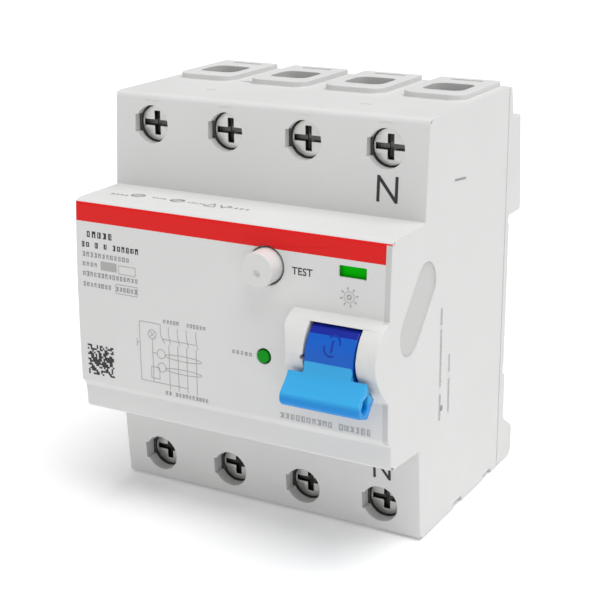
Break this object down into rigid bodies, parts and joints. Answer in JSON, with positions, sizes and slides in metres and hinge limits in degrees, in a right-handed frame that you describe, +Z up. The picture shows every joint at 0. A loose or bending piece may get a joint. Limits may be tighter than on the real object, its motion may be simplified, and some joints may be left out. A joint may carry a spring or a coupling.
{
  "type": "residual current device",
  "caption": "DIN-rail residual current circuit-breaker with blue toggle, test button, contact flag, status light and cage-clamp terminals.",
  "frame": {"origin": "on the face that seats on the DIN rail, at mid-width and mid-height of the housing", "axes": "+X to the right seen from the front, +Y towards the rail, -Y towards the user, +Z up"},
  "size_m": [0.07, 0.0732, 0.0852],
  "materials": {
    "housing_white": "fine matt moulded",
    "toggle_blue": "satin",
    "button_grey": "satin",
    "clip_grey": "matt",
    "light_green": "clear moulded",
    "flag_green": "printed green and red",
    "board_green": "laminate",
    "inner_dark": "matt",
    "core_grey": "matt ferrite",
    "winding_copper": "enamelled wire",
    "contact_brass": "satin",
    "copper": "bright copper",
    "zinc_steel": "zinc plated"
  },
  "bodies": {
    "housing": {"rear_base": "housing_white", "front_cover": "housing_white", "carrier_shaft": "zinc_steel", "toggle_pin": "zinc_steel", "toggle_spring": "zinc_steel", "test_terminal": "contact_brass", "test_resistor": "inner_dark", "status_light": "light_green", "circuit_board": "board_green", "board_capacitor": "inner_dark", "transformer_core": "core_grey", "secondary_winding": "winding_copper", "trip_relay": "inner_dark", "latch_pin": "zinc_steel", "line_terminal_1": "copper", "primary_conductor_1": "copper", "flexible_lead_1": "copper", "line_terminal_2": "copper", "primary_conductor_2": "copper", "flexible_lead_2": "copper", "line_terminal_3": "copper", "primary_conductor_3": "copper", "flexible_lead_3": "copper", "line_terminal_4": "copper", "primary_conductor_4": "copper", "flexible_lead_4": "copper"},
    "toggle_lever": {"toggle": "toggle_blue"},
    "link_wire": {"toggle_link": "zinc_steel"},
    "contact_rocker": {"contact_carrier": "inner_dark", "moving_contact_1": "copper", "moving_contact_2": "copper", "moving_contact_3": "copper", "moving_contact_4": "copper"},
    "button": {"test_button": "button_grey"},
    "test_wire": {"test_spring": "zinc_steel"},
    "flag": {"indicator_flag": "flag_green"},
    "plunger": {"relay_plunger": "zinc_steel"},
    "latch": {"trip_latch": "zinc_steel"},
    "clip_left": {"rail_clip_left": "clip_grey"},
    "clip_right": {"rail_clip_right": "clip_grey"},
    "screw_top_1": {"terminal_screw_top_1": "zinc_steel"},
    "cage_top_1": {"cage_clamp_top_1": "zinc_steel"},
    "screw_top_2": {"terminal_screw_top_2": "zinc_steel"},
    "cage_top_2": {"cage_clamp_top_2": "zinc_steel"},
    "screw_top_3": {"terminal_screw_top_3": "zinc_steel"},
    "cage_top_3": {"cage_clamp_top_3": "zinc_steel"},
    "screw_top_4": {"terminal_screw_top_4": "zinc_steel"},
    "cage_top_4": {"cage_clamp_top_4": "zinc_steel"},
    "screw_bottom_1": {"terminal_screw_bottom_1": "zinc_steel"},
    "cage_bottom_1": {"cage_clamp_bottom_1": "zinc_steel"},
    "screw_bottom_2": {"terminal_screw_bottom_2": "zinc_steel"},
    "cage_bottom_2": {"cage_clamp_bottom_2": "zinc_steel"},
    "screw_bottom_3": {"terminal_screw_bottom_3": "zinc_steel"},
    "cage_bottom_3": {"cage_clamp_bottom_3": "zinc_steel"},
    "screw_bottom_4": {"terminal_screw_bottom_4": "zinc_steel"},
    "cage_bottom_4": {"cage_clamp_bottom_4": "zinc_steel"}
  },
  "joints": [
    {"name": "toggle_tilt", "type": "hinge", "parent": "housing", "child": "toggle_lever", "pos_m": [0.0255, -0.0563, 0.0004], "axis": [-1, 0, 0], "range_deg": [0, 50]},
    {"name": "link_swing", "type": "hinge", "parent": "toggle_lever", "child": "link_wire", "pos_m": [0.0255, -0.05816, 0.00439], "axis": [1, 0, 0], "range_deg": [0, 52]},
    {"name": "contact_rock", "type": "hinge", "parent": "housing", "child": "contact_rocker", "pos_m": [0, -0.027, 0.002], "axis": [-1, 0, 0], "range_deg": [0, 16]},
    {"name": "flag_slide", "type": "slide", "parent": "housing", "child": "flag", "axis": [0, 0, -1], "range_m": [0, 0.0032]},
    {"name": "button_press", "type": "slide", "parent": "housing", "child": "button", "axis": [0, 1, 0], "range_m": [0, 0.0025], "stiffness_N_per_m": 800, "springref_m": -0.001},
    {"name": "test_wire_bend", "type": "hinge", "parent": "housing", "child": "test_wire", "pos_m": [0.0077, -0.0474, 0.0095], "axis": [-1, 0, 0], "range_deg": [0, 25]},
    {"name": "plunger_lift", "type": "slide", "parent": "housing", "child": "plunger", "axis": [0, 0, 1], "range_m": [0, 0.002], "stiffness_N_per_m": 300, "springref_m": -0.001},
    {"name": "latch_turn", "type": "hinge", "parent": "housing", "child": "latch", "pos_m": [0.016, -0.0348, -0.008], "axis": [0, 1, 0], "range_deg": [0, 10]},
    {"name": "clip_left_slide", "type": "slide", "parent": "housing", "child": "clip_left", "axis": [0, 0, -1], "range_m": [0, 0.003], "stiffness_N_per_m": 1500, "springref_m": -0.0015},
    {"name": "clip_right_slide", "type": "slide", "parent": "housing", "child": "clip_right", "axis": [0, 0, -1], "range_m": [0, 0.003], "stiffness_N_per_m": 1500, "springref_m": -0.0015},
    {"name": "screw_top_1_turn", "type": "hinge", "parent": "housing", "child": "screw_top_1", "pos_m": [-0.02625, -0.03, 0.0358], "axis": [0, 1, 0], "range_deg": [0, 2880]},
    {"name": "cage_top_1_lift", "type": "slide", "parent": "housing", "child": "cage_top_1", "axis": [0, -1, 0], "range_m": [0, 0.0064]},
    {"name": "screw_top_2_turn", "type": "hinge", "parent": "housing", "child": "screw_top_2", "pos_m": [-0.00875, -0.03, 0.0358], "axis": [0, 1, 0], "range_deg": [0, 2880]},
    {"name": "cage_top_2_lift", "type": "slide", "parent": "housing", "child": "cage_top_2", "axis": [0, -1, 0], "range_m": [0, 0.0064]},
    {"name": "screw_top_3_turn", "type": "hinge", "parent": "housing", "child": "screw_top_3", "pos_m": [0.00875, -0.03, 0.0358], "axis": [0, 1, 0], "range_deg": [0, 2880]},
    {"name": "cage_top_3_lift", "type": "slide", "parent": "housing", "child": "cage_top_3", "axis": [0, -1, 0], "range_m": [0, 0.0064]},
    {"name": "screw_top_4_turn", "type": "hinge", "parent": "housing", "child": "screw_top_4", "pos_m": [0.02625, -0.03, 0.0358], "axis": [0, 1, 0], "range_deg": [0, 2880]},
    {"name": "cage_top_4_lift", "type": "slide", "parent": "housing", "child": "cage_top_4", "axis": [0, -1, 0], "range_m": [0, 0.0064]},
    {"name": "screw_bottom_1_turn", "type": "hinge", "parent": "housing", "child": "screw_bottom_1", "pos_m": [-0.02625, -0.03, -0.0358], "axis": [0, 1, 0], "range_deg": [0, 2880]},
    {"name": "cage_bottom_1_lift", "type": "slide", "parent": "housing", "child": "cage_bottom_1", "axis": [0, -1, 0], "range_m": [0, 0.0064]},
    {"name": "screw_bottom_2_turn", "type": "hinge", "parent": "housing", "child": "screw_bottom_2", "pos_m": [-0.00875, -0.03, -0.0358], "axis": [0, 1, 0], "range_deg": [0, 2880]},
    {"name": "cage_bottom_2_lift", "type": "slide", "parent": "housing", "child": "cage_bottom_2", "axis": [0, -1, 0], "range_m": [0, 0.0064]},
    {"name": "screw_bottom_3_turn", "type": "hinge", "parent": "housing", "child": "screw_bottom_3", "pos_m": [0.00875, -0.03, -0.0358], "axis": [0, 1, 0], "range_deg": [0, 2880]},
    {"name": "cage_bottom_3_lift", "type": "slide", "parent": "housing", "child": "cage_bottom_3", "axis": [0, -1, 0], "range_m": [0, 0.0064]},
    {"name": "screw_bottom_4_turn", "type": "hinge", "parent": "housing", "child": "screw_bottom_4", "pos_m": [0.02625, -0.03, -0.0358], "axis": [0, 1, 0], "range_deg": [0, 2880]},
    {"name": "cage_bottom_4_lift", "type": "slide", "parent": "housing", "child": "cage_bottom_4", "axis": [0, -1, 0], "range_m": [0, 0.0064]}
  ],
  "couplings": [
    {"joint": "link_swing", "follows": "toggle_tilt", "ratio": 1.032},
    {"joint": "contact_rock", "follows": "toggle_tilt", "ratio": 0.32},
    {"joint": "flag_slide", "follows": "toggle_tilt", "m_per_rad": 0.00366},
    {"joint": "test_wire_bend", "follows": "button_press", "rad_per_m": 165},
    {"joint": "latch_turn", "follows": "plunger_lift", "rad_per_m": 83.3},
    {"joint": "screw_top_1_turn", "follows": "cage_top_1_lift", "rad_per_m": 7850},
    {"joint": "screw_top_2_turn", "follows": "cage_top_2_lift", "rad_per_m": 7850},
    {"joint": "screw_top_3_turn", "follows": "cage_top_3_lift", "rad_per_m": 7850},
    {"joint": "screw_top_4_turn", "follows": "cage_top_4_lift", "rad_per_m": 7850},
    {"joint": "screw_bottom_1_turn", "follows": "cage_bottom_1_lift", "rad_per_m": 7850},
    {"joint": "screw_bottom_2_turn", "follows": "cage_bottom_2_lift", "rad_per_m": 7850},
    {"joint": "screw_bottom_3_turn", "follows": "cage_bottom_3_lift", "rad_per_m": 7850},
    {"joint": "screw_bottom_4_turn", "follows": "cage_bottom_4_lift", "rad_per_m": 7850}
  ]
}
